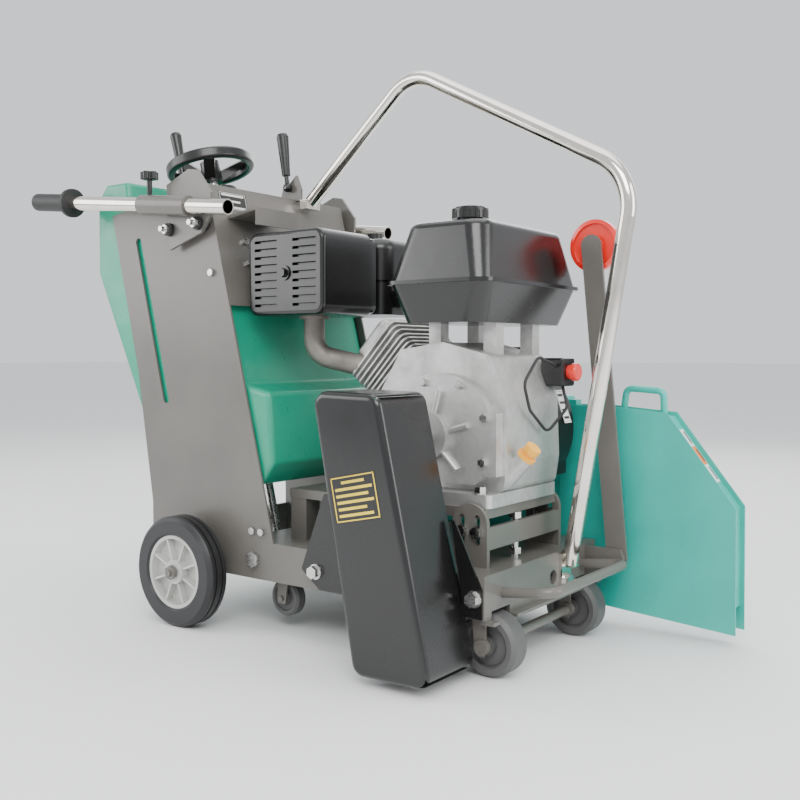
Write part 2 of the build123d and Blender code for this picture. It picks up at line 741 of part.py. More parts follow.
# The cylinder leans backwards from the crankshaft, and its fins lie across that line.
bore_lean = math.radians(47)
bore_dir = (-math.sin(bore_lean), 0, math.cos(bore_lean))
bore_plane = Plane(origin=(crank_x, 4, crank_z), x_dir=(0, 1, 0), z_dir=bore_dir)
with BuildPart() as cylinder:
    with BuildSketch(bore_plane.offset(90)):
        RectangleRounded(112, 104, 20)
    extrude(amount=92)
    for fin in range(8):
        with BuildSketch(bore_plane.offset(112 + 9 * fin)):
            RectangleRounded(146, 130, 14)
        extrude(amount=3)
cylinder.part = cylinder.part - crankcase.part
cylinder_pieces = cylinder.part.solids().sort_by(SortBy.VOLUME)
cylinder.part = Part(cylinder_pieces[-1].wrapped)
finish(cylinder, "cylinder")

with BuildPart() as cylinder_head:
    with BuildSketch(bore_plane.offset(182)):
        RectangleRounded(124, 116, 12)
    extrude(amount=34)
    for fin in range(3):
        with BuildSketch(bore_plane.offset(185 + 10 * fin)):
            RectangleRounded(150, 132, 12)
        extrude(amount=3)
finish(cylinder_head, "cylinder_head")

with BuildPart() as valve_cover:
    with BuildSketch(bore_plane.offset(216)):
        RectangleRounded(118, 104, 14)
    extrude(amount=5)
    with BuildSketch(bore_plane.offset(221)):
        RectangleRounded(104, 90, 16)
    extrude(amount=20)
    fillet(valve_cover.faces().sort_by(Axis(bore_plane.origin, bore_dir))[-1].edges(), 7)
    for across, along in ((-52, -45), (52, -45), (-52, 45), (52, 45)):
        bolt = bore_plane.from_local_coords(Vector(across, along, 221))
        top = bore_plane.from_local_coords(Vector(across, along, 227))
        hexagon(tuple(bolt), tuple(top), 6)
cylinder_head.part = cylinder_head.part + valve_cover.part

# ---------------------------------------------------------------- exhaust, air and fuel

muffler_x = (57, 236)
muffler_y = (-158, -6)
muffler_z = (560, 708)
with BuildPart() as muffler:
    block((muffler_x[0] + 6, muffler_x[1] - 6), (muffler_y[0] + 8, muffler_y[1]), (muffler_z[0] + 5, muffler_z[1] - 5))
    fillet(muffler.edges().filter_by(Axis.Y), 16)
    block((muffler_x[0] + 9, muffler_x[1] - 9), (muffler_y[0] + 11, muffler_y[1] - 3), (muffler_z[0] + 8, muffler_z[1] - 8), mode=Mode.SUBTRACT)
with BuildPart() as guard_outside:
    block(muffler_x, (muffler_y[0], muffler_y[1] - 20), muffler_z)
    fillet(guard_outside.edges().filter_by(Axis.Y), 20)
    fillet(guard_outside.faces().sort_by(Axis.Y)[0].edges(), 8)
with BuildPart() as guard_inside:
    block((muffler_x[0] + 2, muffler_x[1] - 2), (muffler_y[0] + 2, 0), (muffler_z[0] + 2, muffler_z[1] - 2))
    fillet(guard_inside.edges().filter_by(Axis.Y), 18)
    for row in range(9):
        low = muffler_z[0] + 16 + 14 * row
        for x_range in ((74, 128), (165, 219)):
            block(x_range, (muffler_y[0] - 5, muffler_y[0] + 6), (low, low + 5))
guard_shell = guard_outside.part - guard_inside.part
mid_x = sum(muffler_x) / 2
mid_z = sum(muffler_z) / 2
with BuildPart() as guard_bolt:
    cross_rod(mid_x, mid_z, (muffler_y[0] - 3, muffler_y[0] + 8), 13)
    hexagon((mid_x, muffler_y[0] - 3, mid_z), (mid_x, muffler_y[0] - 9, mid_z), 8)
muffler.part = muffler.part + guard_shell + guard_bolt.part
finish(muffler, "muffler")

elbow_route = [(150, -84, 566), (150, -84, 492), (243, -50, 470)]
with BuildPart() as exhaust_elbow:
    add(bent_tube(elbow_route, [36], 19, 14))
    rod((150, -84, 556), (150, -84, 565), 27)
exhaust_elbow.part = exhaust_elbow.part - muffler.part - cylinder_head.part - cylinder.part
elbow_pieces = exhaust_elbow.part.solids().sort_by(SortBy.VOLUME)
exhaust_elbow.part = Part(elbow_pieces[-1].wrapped)
finish(exhaust_elbow, "exhaust_elbow")

air_centre = (152, 92)
with BuildPart() as air_cleaner:
    with BuildSketch(Plane.XY.offset(566)):
        with Locations(air_centre):
            RectangleRounded(150, 140, 28)
    extrude(amount=60)
    with BuildSketch(Plane.XY.offset(630)):
        with Locations(air_centre):
            RectangleRounded(156, 148, 34)
    extrude(amount=78)
    fillet(air_cleaner.faces().sort_by(Axis.Z)[-1].edges(), 20)
    with BuildSketch(Plane.XY.offset(626)):
        with Locations(air_centre):
            RectangleRounded(140, 130, 26)
    extrude(amount=5)
    with Locations((air_centre[0], air_centre[1], 716)):
        Cylinder(15, 18)
    block((200, 262), (60, 110), (580, 612))
air_cleaner.part = air_cleaner.part - cylinder_head.part
air_pieces = air_cleaner.part.solids().sort_by(SortBy.VOLUME)
air_cleaner.part = Part(air_pieces[-1].wrapped)
finish(air_cleaner, "air_cleaner")

tank_mid = (445, 27)
seam_z = 608
with BuildPart() as fuel_tank:
    with BuildSketch(Plane.XY.offset(543)):
        with Locations((tank_mid[0] - 2, tank_mid[1])):
            RectangleRounded(150, 290, 30)
    with BuildSketch(Plane.XY.offset(seam_z - 3)):
        with Locations(tank_mid):
            RectangleRounded(188, 322, 26)
    loft()
    with BuildSketch(Plane.XY.offset(seam_z - 3)):
        with Locations(tank_mid):
            RectangleRounded(202, 336, 30)
    extrude(amount=6)
    with BuildSketch(Plane.XY.offset(seam_z + 3)):
        with Locations(tank_mid):
            RectangleRounded(188, 322, 26)
    with BuildSketch(Plane.XY.offset(706)):
        with Locations((tank_mid[0] + 2, tank_mid[1])):
            RectangleRounded(150, 280, 34)
    loft()
    fillet(fuel_tank.faces().sort_by(Axis.Z)[-1].edges(), 14)
cap_x = 468
cap_y = -62
with BuildPart() as filler_neck:
    rod((cap_x, cap_y, 690), (cap_x, cap_y, 711), 21)
    rod((cap_x, cap_y, 690), (cap_x, cap_y, 715), 15)
fuel_tank.part = fuel_tank.part + filler_neck.part
tank_feet = [(392, -40), (500, -40), (392, 80), (500, 80)]
with BuildPart() as fuel_tank_feet:
    for x, y in tank_feet:
        block((x - 12, x + 12), (y - 12, y + 12), (470, 560))
fuel_tank_feet.part = fuel_tank_feet.part - fuel_tank.part - crankcase.part - cylinder.part
with BuildPart() as tank_brackets:
    for solid in fuel_tank_feet.part.solids():
        if solid.volume > 6000:
            add(solid)
finish(fuel_tank, "fuel_tank")

with BuildPart() as fuel_cap:
    rod((cap_x, cap_y, 711.3), (cap_x, cap_y, 727), 30)
    rod((cap_x, cap_y, 706), (cap_x, cap_y, 719), 21.4, mode=Mode.SUBTRACT)
    for step in range(24):
        angle = math.radians(15 * step)
        x = cap_x + 30.5 * math.cos(angle)
        y = cap_y + 30.5 * math.sin(angle)
        rod((x, y, 710), (x, y, 723), 1.8, mode=Mode.SUBTRACT)
    rod((cap_x, cap_y, 727), (cap_x, cap_y, 730), 24)
finish(fuel_cap, "fuel_cap")

# ---------------------------------------------------------------- starter side and small fittings

with BuildPart() as fan_shroud:
    cross_rod(crank_x + 6, crank_z + 2, (96, 150), 124)
    block((crank_x - 110, crank_x + 116), (96, 150), (ENGINE_FLOOR + 30, crank_z))
    block((crank_x - 60, crank_x + 60), (96, 150), (crank_z + 60, 505))
    block((100, 700), (90, 160), (200, 258), mode=Mode.SUBTRACT)
    cross_rod(crank_x, crank_z, (80, 142), 100, mode=Mode.SUBTRACT)
fan_shroud.part = fan_shroud.part - cylinder.part - engine_base.part
shroud_pieces = fan_shroud.part.solids().sort_by(SortBy.VOLUME)
fan_shroud.part = Part(shroud_pieces[-1].wrapped)
finish(fan_shroud, "fan_shroud")

recoil_x = crank_x + 46
recoil_z = crank_z + 72
with BuildPart() as recoil_starter:
    cross_rod(crank_x, crank_z, (150, 182), 92)
    fillet(recoil_starter.edges().filter_by(GeomType.CIRCLE).sort_by(Axis.Y)[-1], 12)
    for vent in range(8):
        angle = math.radians(45 * vent)
        x = crank_x + 60 * math.cos(angle)
        z = crank_z + 60 * math.sin(angle)
        cross_rod(x, z, (176, 190), 9, mode=Mode.SUBTRACT)
    block((recoil_x - 30, recoil_x + 30), (150, 176), (recoil_z - 16, recoil_z + 12))
    rod((recoil_x, 166, recoil_z), (recoil_x, 190, recoil_z), 8, mode=Mode.SUBTRACT)
finish(recoil_starter, "recoil_starter")

with BuildPart() as recoil_handle:
    rod((recoil_x, 167, recoil_z), (recoil_x, 186, recoil_z), 6)
    block((recoil_x - 32, recoil_x + 32), (184, 197), (recoil_z - 6, recoil_z + 7))
    fillet(recoil_handle.edges().filter_by(Axis.X).group_by(Axis.Y)[-1], 3)
finish(recoil_handle, "recoil_handle")

with BuildPart() as dipstick:
    rod(stick_point(0), stick_point(27.2), 8)
    rod(stick_point(27.2), stick_point(33), 16)
    rod(stick_point(33), stick_point(41), 9)
    rod(stick_point(40), stick_point(50), 13)
finish(dipstick, "dipstick")

box_y = 88
box_z = 462
with BuildPart() as switch_box:
    block((530, 572), (box_y - 24, box_y + 22), (box_z - 24, box_z + 24))
    fillet(switch_box.edges(), 4)
switch_box.part = switch_box.part - crankcase.part - fan_shroud.part
switch_pieces = switch_box.part.solids().sort_by(SortBy.VOLUME)
switch_box.part = Part(switch_pieces[-1].wrapped)
finish(switch_box, "switch_box")

with BuildPart() as switch_knob:
    rod((572.3, box_y, box_z), (580, box_y, box_z), 12)
    rod((580, box_y, box_z), (590, box_y, box_z), 15)
    fillet(switch_knob.edges().filter_by(GeomType.CIRCLE).sort_by(Axis.X)[-1], 4)
finish(switch_knob, "switch_knob")

with BuildPart() as engine_wires:
    wire_route = [
        (560, box_y, box_z - 24),
        (574, box_y - 10, box_z - 60),
        (562, 30, box_z - 100),
        (562, -30, box_z - 60),
        (562, -50, box_z - 16),
        (566, -10, box_z + 26),
        (560, box_y - 24, box_z + 10),
    ]
    add(bent_tube(wire_route, [18, 20, 22, 18, 20], 2.5, 0))
engine_wires.part = engine_wires.part - switch_box.part - crankcase.part
wire_pieces = engine_wires.part.solids().sort_by(SortBy.VOLUME)
engine_wires.part = Part(wire_pieces[-1].wrapped)
finish(engine_wires, "engine_wires")

# ---------------------------------------------------------------- belt drive

shaft_x, shaft_z = BLADE_SHAFT
upper_r = 50
lower_r = 46
belt_planes = (-248, -228)
pulley_y = (-260, -216)

with BuildPart() as drive_pulley:
    cross_rod(crank_x, crank_z, pulley_y, upper_r)
    cross_rod(crank_x, crank_z, (-216, -123), 14)
    cross_rod(crank_x, crank_z, (-123, 135), 14)
    cross_rod(crank_x, crank_z, (98, 134), 88)
    for belt_y in belt_planes:
        groove = [(upper_r - 9, -3.5), (upper_r + 1, -6.5), (upper_r + 1, 6.5), (upper_r - 9, 3.5)]
        wheel_section(groove, (crank_x, belt_y, crank_z), mode=Mode.SUBTRACT)
finish(drive_pulley, "drive_pulley")

with BuildPart() as blade_shaft:
    cross_rod(shaft_x, shaft_z, (-262, 246), 14)
    cross_rod(shaft_x, shaft_z, pulley_y, lower_r)
    for belt_y in belt_planes:
        groove = [(lower_r - 9, -3.5), (lower_r + 1, -6.5), (lower_r + 1, 6.5), (lower_r - 9, 3.5)]
        wheel_section(groove, (shaft_x, belt_y, shaft_z), mode=Mode.SUBTRACT)
    # The two flanges that clamp a blade, and the nut outside them.
    cross_rod(shaft_x, shaft_z, (213, 221), 54)
    cross_rod(shaft_x, shaft_z, (221, 225), 12.7)
    cross_rod(shaft_x, shaft_z, (225, 233), 54)
    hexagon((shaft_x, 233, shaft_z), (shaft_x, 242, shaft_z), 22)
finish(blade_shaft, "blade_shaft")

bearing_y = 96
with BuildPart() as shaft_bearings:
    for side in (-1, 1):
        span = tuple(sorted((side * (bearing_y - 17), side * (bearing_y + 12))))
        cross_rod(shaft_x, shaft_z, span, 36)
        block((shaft_x - 60, shaft_x + 50), span, (DECK_TOP - 24, DECK_TOP - 6))
        block((shaft_x - 30, shaft_x + 30), span, (shaft_z, DECK_TOP - 10))
    cross_rod(shaft_x, shaft_z, (-130, 130), 14 + RUNNING_GAP, mode=Mode.SUBTRACT)
finish(shaft_bearings, "shaft_bearings")


def belt_loop(outside):
    """Outline of a belt round both pulleys, reaching so far past the pulley rims."""
    with BuildSketch(Plane.XZ) as loop:
        with Locations((crank_x, crank_z)):
            Circle(upper_r + outside)
        with Locations((shaft_x, shaft_z)):
            Circle(lower_r + outside)
        make_hull()
    return loop.sketch


with BuildPart() as v_belts:
    for belt_y in belt_planes:
        ring = belt_loop(1) - belt_loop(-6)
        extrude(Pos(0, belt_y + 4, 0) * ring, amount=8)
finish(v_belts, "v_belts")

# The belt cover is a box of thin sheet with rounded front corners and two bolted wings.
cover_outline = [(338, 437), (466, 434), (560, 16), (418, 14)]
cover_sheet = 2.5
with BuildPart() as belt_cover:
    side_profile(cover_outline, (BELT_SIDE_Y, -HALF_WIDTH), corner=22)
    fillet(belt_cover.faces().sort_by(Axis.Y)[0].edges(), 10)
with BuildPart() as cover_hollow:
    with BuildSketch(Plane.XZ.offset(HALF_WIDTH - 5)):
        Polygon(*cover_outline, align=None)
        offset(amount=-cover_sheet - 2)
    extrude(amount=-BELT_SIDE_Y - cover_sheet - HALF_WIDTH + 5)
belt_cover.part = belt_cover.part - cover_hollow.part
with BuildPart() as cover_wings:
    left_wing = [(375, 262), (264, 260), (213, 128), (253, 97), (405, 97)]
    right_wing = [(517, 242), (523, 242), (572, 142), (572, 97), (541, 97)]
    side_profile(left_wing, (-HALF_WIDTH - 3, -HALF_WIDTH), corner=4)
    side_profile(right_wing, (-HALF_WIDTH - 3, -HALF_WIDTH))
belt_cover.part = belt_cover.part + (cover_wings.part - cover_hollow.part)
finish(belt_cover, "belt_cover")

with BuildPart() as side_bolts:
    for x, z in ((245, 127), (559, 127)):
        cross_rod(x, z, (-HALF_WIDTH - 5, -HALF_WIDTH - 3), 13)
        hexagon((x, -HALF_WIDTH - 5, z), (x, -HALF_WIDTH - 15, z), 11)
    for side in (-1, 1):
        for x, z in ((118, 180), (96, 180), (-4, 640)):
            hexagon((x, side * HALF_WIDTH, z), (x, side * (HALF_WIDTH + 6), z), 7)
hex_bolts = BuildPart()
with hex_bolts:
    for group in (panel_bolts, hoop_bolts, foot_bolts, cover_bolts, isolator_studs, tension_bolt, side_bolts):
        add(group.part)
hex_bolts.part = hex_bolts.part - column_panel.part
finish(hex_bolts, "hex_bolts")

# ---------------------------------------------------------------- blade guard

guard_seam = shaft_x + 8
guard_front_outline = [
    (guard_seam + 0.5, 48),
    (822, 25),
    (820, 236),
    (700, 391),
    (584, 400),
    (guard_seam + 0.5, 400),
]
guard_rear_outline = [
    (guard_seam - 0.5, 48),
    (guard_seam - 0.5, 400),
    (400, 400),
    (285, 391),
    (165, 236),
    (165, 60),
]
guard_sheet = 3
lip = 7


def guard_half(outline, hub_gap):
    """One half of the guard: two side sheets, a rim between them and an open bottom."""
    with BuildPart() as shell:
        side_profile(outline, (GUARD_IN, GUARD_IN + guard_sheet))
        side_profile(outline, (GUARD_OUT - guard_sheet, GUARD_OUT))
        with BuildSketch(Plane.XZ.offset(-GUARD_OUT)):
            Polygon(*outline, align=None)
            offset(amount=-lip)
        extrude(amount=GUARD_OUT - GUARD_IN)
        with BuildSketch(Plane.XZ.offset(-GUARD_OUT + guard_sheet)):
            Polygon(*outline, align=None)
            offset(amount=-lip - guard_sheet)
        extrude(amount=GUARD_OUT - GUARD_IN - 2 * guard_sheet, mode=Mode.SUBTRACT)
        block((100, 900), (GUARD_IN + guard_sheet, GUARD_OUT - guard_sheet), (0, 66), mode=Mode.SUBTRACT)
        seam_room = (guard_seam - 14, guard_seam + 14)
        inside = (GUARD_IN + guard_sheet, GUARD_OUT - guard_sheet)
        block(seam_room, inside, (0, 388), mode=Mode.SUBTRACT)
        cross_rod(shaft_x, shaft_z, (190, 260), hub_gap, mode=Mode.SUBTRACT)
    return shell.part


hinge_z = 409
hinge_r = 5
with BuildPart() as guard_rear:
    add(guard_half(guard_rear_outline, 58))
    for knuckle in ((206, 216), (238, 248)):
        cross_rod(guard_seam, hinge_z, knuckle, 8)
        block((guard_seam - 26, guard_seam - 4), knuckle, (388, hinge_z))
    # Two stays hold the rear half to the side of the chassis.
    for x, z in ((240, 120), (400, 120)):
        block((x - 20, x + 20), (HALF_WIDTH, GUARD_IN), (z - 18, z + 18))
    cross_rod(guard_seam, hinge_z, (200, 260), hinge_r, mode=Mode.SUBTRACT)
    cross_rod(guard_seam, hinge_z, (206, 248), hinge_r)
finish(guard_rear, "guard_rear")

with BuildPart() as guard_front:
    add(guard_half(guard_front_outline, 58))
    cross_rod(guard_seam, hinge_z, (216.5, 237.5), 8)
    block((guard_seam + 4, guard_seam + 26), (216.5, 237.5), (388, hinge_z))
    cross_rod(guard_seam, hinge_z, (210, 244), hinge_r + RUNNING_GAP, mode=Mode.SUBTRACT)
handle_y = 227
handle_route = [(610, handle_y, 386), (616, handle_y, 432), (684, handle_y, 428), (686, handle_y, 378)]
guard_handle = bent_tube(handle_route, [12, 12], 6, 0)
guard_front.part = guard_front.part + guard_handle
finish(guard_front, "guard_front")

# ---------------------------------------------------------------- pointer arm and guide wheel

pointer_pivot = (630, 140)
pointer_y = (158, 164)
pointer_top = (576, 682)
guide_r = 46
with BuildPart() as pointer_bracket:
    bracket_y = (148, 157.5)
    side_profile([(575, 104), (575, 156), (640, 156), (646, 140), (640, 122)], bracket_y)
    cross_rod(pointer_pivot[0], pointer_pivot[1], (150, 172), 6)
    hexagon((pointer_pivot[0], 165, pointer_pivot[1]), (pointer_pivot[0], 172, pointer_pivot[1]), 10)
chassis_frame.part = chassis_frame.part + pointer_bracket.part + front_bumper.part

arm_width = 18
with BuildPart() as pointer_arm:
    side_profile(
        [
            (pointer_pivot[0] - arm_width, pointer_pivot[1] - 4),
            (pointer_pivot[0] + arm_width, pointer_pivot[1] + 4),
            (pointer_top[0] + arm_width, pointer_top[1] + 4),
            (pointer_top[0] - arm_width, pointer_top[1] - 4),
        ],
        pointer_y,
    )
    cross_rod(pointer_pivot[0], pointer_pivot[1], pointer_y, 18.5)
    cross_rod(pointer_top[0], pointer_top[1], pointer_y, 18.5)
    cross_rod(pointer_pivot[0], pointer_pivot[1], (150, 170), 6 + RUNNING_GAP, mode=Mode.SUBTRACT)
    cross_rod(pointer_top[0], pointer_top[1], (160, 190), 6)
finish(pointer_arm, "pointer_arm")

with BuildPart() as guide_wheel:
    centre = (pointer_top[0], 177, pointer_top[1])
    rim = [
        (6.05, -8),
        (6.05, 8),
        (14, 8),
        (16, 3),
        (38, 3),
        (39, 8),
        (guide_r, 6),
        (guide_r, -6),
        (40, -8),
        (38, -3),
        (16, -3),
        (14, -8),
    ]
    wheel_section(rim, centre)
finish(guide_wheel, "guide_wheel")

# ---------------------------------------------------------------- controls on the top panel

lever_x = -30
lever_y = 40
lever_z = 826
with BuildPart() as lever_bracket:
    side_profile([(-60, 792), (-2, 800), (-2, 822), (-14, 850), (-28, 838), (-50, 826)], (48, 54))
    cross_rod(lever_x, lever_z, (33, 50), 4)
lever_bracket.part = lever_bracket.part - column_panel.part
column_panel.part = column_panel.part + lever_bracket.part.solids().sort_by(SortBy.VOLUME)[-1]

lever_plane = Plane(origin=(lever_x, lever_y, lever_z), z_dir=(-0.12, 0, 0.99))
with BuildPart() as throttle_lever:
    with Locations((lever_x, lever_y, lever_z)):
        Sphere(9)
    with BuildSketch(lever_plane):
        Circle(4.5)
    extrude(amount=30)
    add(tapered_grip(lever_plane.offset(24), 0))
    cross_rod(lever_x, lever_z, (30, 50), 4 + RUNNING_GAP, mode=Mode.SUBTRACT)
    block((lever_x - 20, lever_x + 20), (46, 60), (lever_z - 20, lever_z + 20), mode=Mode.SUBTRACT)
finish(throttle_lever, "throttle_lever")

knob_at = (-96, -64)
with BuildPart() as lock_knob:
    rod((knob_at[0], knob_at[1], 793), (knob_at[0], knob_at[1], 812), 6)
    rod((knob_at[0], knob_at[1], 806), (knob_at[0], knob_at[1], 822), 15)
    for lobe in range(6):
        angle = math.radians(60 * lobe)
        x = knob_at[0] + 14 * math.cos(angle)
        y = knob_at[1] + 14 * math.sin(angle)
        rod((x, y, 807), (x, y, 821), 5.5)
finish(lock_knob, "lock_knob")

# ---------------------------------------------------------------- welded groups and export

swing_frame.part = swing_frame.part + rear_axles.part
wheel_brackets.part = wheel_brackets.part + castor_forks.part + front_axle.part
crankcase.part = crankcase.part + tank_brackets.part
engine_base.part = engine_base.part + engine_plate.part
column_panel.part = column_panel.part + screw_bearing.part
finished["swing_frame"] = swing_frame
finished["wheel_brackets"] = wheel_brackets

boxes = [piece.part.bounding_box() for piece in finished.values()]
origin_x = (min(box.min.X for box in boxes) + max(box.max.X for box in boxes)) / 2
origin_y = (min(box.min.Y for box in boxes) + max(box.max.Y for box in boxes)) / 2
origin_z = min(box.min.Z for box in boxes)
to_origin = Pos(-origin_x, -origin_y, -origin_z)

os.makedirs("parts", exist_ok=True)
for name, piece in finished.items():
    placed = to_origin * piece.part
    placed.label = name
    export_step(placed, f"parts/{name}.step")
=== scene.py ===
import json
import math

import bpy
import bmesh
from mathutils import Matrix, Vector


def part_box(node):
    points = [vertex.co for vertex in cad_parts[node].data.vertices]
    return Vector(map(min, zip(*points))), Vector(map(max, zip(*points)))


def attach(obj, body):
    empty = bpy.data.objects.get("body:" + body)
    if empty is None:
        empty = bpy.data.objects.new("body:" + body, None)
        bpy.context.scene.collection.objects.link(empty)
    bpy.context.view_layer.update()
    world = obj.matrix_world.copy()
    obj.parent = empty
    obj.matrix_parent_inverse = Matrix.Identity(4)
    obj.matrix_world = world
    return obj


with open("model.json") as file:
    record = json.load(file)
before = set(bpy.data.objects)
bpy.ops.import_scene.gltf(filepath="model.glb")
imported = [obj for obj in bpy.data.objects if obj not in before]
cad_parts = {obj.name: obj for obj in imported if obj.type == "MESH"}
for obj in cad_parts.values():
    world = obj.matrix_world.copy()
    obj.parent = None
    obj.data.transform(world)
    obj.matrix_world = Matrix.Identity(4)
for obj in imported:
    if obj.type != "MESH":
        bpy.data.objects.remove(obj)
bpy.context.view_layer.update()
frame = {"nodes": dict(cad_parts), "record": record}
NODES = frame["nodes"]

# Where the camera stands, and which way it looks (metres and degrees).
CAMERA_PLACE = (1.157, -1.399, 0.490)
CAMERA_TURN = 36.5
CAMERA_DIP = 2.6
CAMERA_LENS = 44.1

# Sockets of a Mix node that blends colours.
MIX_FACTOR = 0
MIX_FIRST = 6
MIX_LAST = 7
MIX_RESULT = 2

DUST = (0.30, 0.28, 0.25)


def corners(node):
    """Lowest and highest corner of a CAD node."""
    low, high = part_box(node)
    return Vector(low), Vector(high)


# ---------------------------------------------------------------- material building blocks


class Shader:
    """A node tree with a Principled shader and object-space coordinates."""

    def __init__(self, name, color, roughness, metallic=0.0):
        self.material = bpy.data.materials.new(name)
        self.material.use_nodes = True
        self.tree = self.material.node_tree
        self.links = self.tree.links
        self.surface = self.tree.nodes["Principled BSDF"]
        self.surface.inputs["Base Color"].default_value = (*color, 1)
        self.surface.inputs["Roughness"].default_value = roughness
        self.surface.inputs["Metallic"].default_value = metallic
        self.place = self.tree.nodes.new("ShaderNodeTexCoord").outputs["Object"]
        self.height = None

    def noise(self, scale, detail=4.0, roughness=0.55, stretch=(1, 1, 1)):
        """Noise in object space; scale is per metre."""
        mapping = self.tree.nodes.new("ShaderNodeMapping")
        mapping.inputs["Scale"].default_value = stretch
        self.links.new(self.place, mapping.inputs["Vector"])
        node = self.tree.nodes.new("ShaderNodeTexNoise")
        node.inputs["Scale"].default_value = scale
        node.inputs["Detail"].default_value = detail
        node.inputs["Roughness"].default_value = roughness
        self.links.new(mapping.outputs["Vector"], node.inputs["Vector"])
        return node.outputs["Fac"]

    def ramp(self, source, low, high, first, last):
        """Map a value from low..high onto first..last."""
        node = self.tree.nodes.new("ShaderNodeMapRange")
        node.inputs["From Min"].default_value = low
        node.inputs["From Max"].default_value = high
        node.inputs["To Min"].default_value = first
        node.inputs["To Max"].default_value = last
        self.links.new(source, node.inputs["Value"])
        return node.outputs["Result"]

    def blend_color(self, factor, first, last):
        """Mix from first, a colour or another node's output, to the colour last."""
        node = self.tree.nodes.new("ShaderNodeMix")
        node.data_type = "RGBA"
        if isinstance(first, tuple):
            node.inputs[MIX_FIRST].default_value = (*first, 1)
        else:
            self.links.new(first, node.inputs[MIX_FIRST])
        node.inputs[MIX_LAST].default_value = (*last, 1)
        self.links.new(factor, node.inputs[MIX_FACTOR])
        return node.outputs[MIX_RESULT]

    def drift(self, source, low, high, color, darker, lighter):
        """Let the base colour wander between two tones of itself."""
        factor = self.ramp(source, low, high, 0, 1)
        return self.blend_color(factor, tone(color, darker), tone(color, lighter))

    def color(self, output):
        self.links.new(output, self.surface.inputs["Base Color"])

    def rough(self, output):
        self.links.new(output, self.surface.inputs["Roughness"])

    def bump(self, source, distance, strength=1.0):
        """Add one layer of relief; distance is in metres."""
        node = self.tree.nodes.new("ShaderNodeBump")
        node.inputs["Distance"].default_value = distance
        node.inputs["Strength"].default_value = strength
        self.links.new(source, node.inputs["Height"])
        if self.height is not None:
            self.links.new(self.height, node.inputs["Normal"])
        self.height = node.outputs["Normal"]
        self.links.new(self.height, self.surface.inputs["Normal"])


def tone(color, gain):
    """A lighter or darker version of a colour."""
    return tuple(min(1.0, channel * gain) for channel in color)


def powder_paint(name, color, roughness=0.38, coat=0.25, dust=0.12):
    """Sprayed paint: orange peel, faint tone drift, dust in the low-frequency patches."""
    shader = Shader(name, color, roughness)
    patches = shader.noise(7, 5)
    fine = shader.noise(260, 3)
    mottled = shader.drift(patches, 0.3, 0.7, color, 0.88, 1.10)
    grime = shader.noise(38, 8, 0.7)
    shader.color(shader.blend_color(shader.ramp(grime, 0.62, 0.80, 0, dust), mottled, DUST))
    shader.rough(shader.ramp(patches, 0.3, 0.7, roughness - 0.06, roughness + 0.08))
    shader.surface.inputs["Coat Weight"].default_value = coat
    shader.surface.inputs["Coat Roughness"].default_value = 0.18
    shader.bump(fine, 0.00018, 0.35)
    return shader.material


def plated(name, color, roughness=0.10, streak=0.04):
    """Chrome or zinc plate with fine polishing streaks along the tubes."""
    shader = Shader(name, color, roughness, metallic=1.0)
    cloud = shader.noise(14, 4)
    scratches = shader.noise(180, 5, 0.7, stretch=(0.25, 1, 1))
    shader.color(shader.drift(cloud, 0.3, 0.7, color, 0.90, 1.06))
    smoothest = max(roughness - streak, 0.03)
    shader.rough(shader.ramp(scratches, 0.35, 0.75, smoothest, roughness + 2 * streak))
    shader.bump(scratches, 0.00006, 0.25)
    return shader.material


def cast_metal(name, color, roughness=0.48, grain=0.0006):
    """Sand or die cast metal with a pebbled skin and darker oily patches."""
    shader = Shader(name, color, roughness, metallic=0.85)
    patches = shader.noise(20, 6, 0.6)
    shader.color(shader.drift(patches, 0.35, 0.72, color, 0.72, 1.12))
    shader.rough(shader.ramp(patches, 0.3, 0.7, roughness + 0.12, roughness - 0.08))
    shader.bump(shader.noise(420, 4, 0.6), grain, 0.45)
    shader.bump(shader.noise(60, 3), grain * 1.6, 0.25)
    return shader.material


def moulded(name, color, roughness=0.35, grain=0.0002, coat=0.0, scale=520):
    """Moulded plastic or rubber with a fine texture and slight tone drift."""
    shader = Shader(name, color, roughness)
    clouds = shader.noise(11, 4)
    shader.color(shader.drift(clouds, 0.3, 0.7, color, 0.82, 1.16))
    shader.rough(shader.ramp(clouds, 0.3, 0.7, roughness - 0.05, roughness + 0.09))
    shader.surface.inputs["Coat Weight"].default_value = coat
    shader.surface.inputs["Coat Roughness"].default_value = 0.12
    shader.bump(shader.noise(scale, 4, 0.6), grain, 0.4)
    return shader.material


def tank_polyethylene(name, color):
    """Rotationally moulded polyethylene: waxy, softly wavy and slightly translucent."""
    shader = Shader(name, color, 0.33)
    clouds = shader.noise(5, 5)
    shader.color(shader.drift(clouds, 0.3, 0.7, color, 0.86, 1.15))
    shader.rough(shader.ramp(shader.noise(30, 4), 0.3, 0.7, 0.26, 0.42))
    shader.surface.inputs["Subsurface Weight"].default_value = 0.12
    shader.surface.inputs["Subsurface Radius"].default_value = (0.004, 0.012, 0.008)
    shader.surface.inputs["Coat Weight"].default_value = 0.15
    shader.bump(shader.noise(9, 3), 0.004, 0.22)
    shader.bump(shader.noise(340, 3), 0.00025, 0.3)
    return shader.material


GREY = (0.125, 0.117, 0.105)
GREEN = (0.010, 0.300, 0.180)
TEAL = (0.018, 0.430, 0.350)
BLACK = (0.004, 0.004, 0.004)
WHITE = (0.80, 0.80, 0.78)
YELLOW = (0.85, 0.62, 0.04)

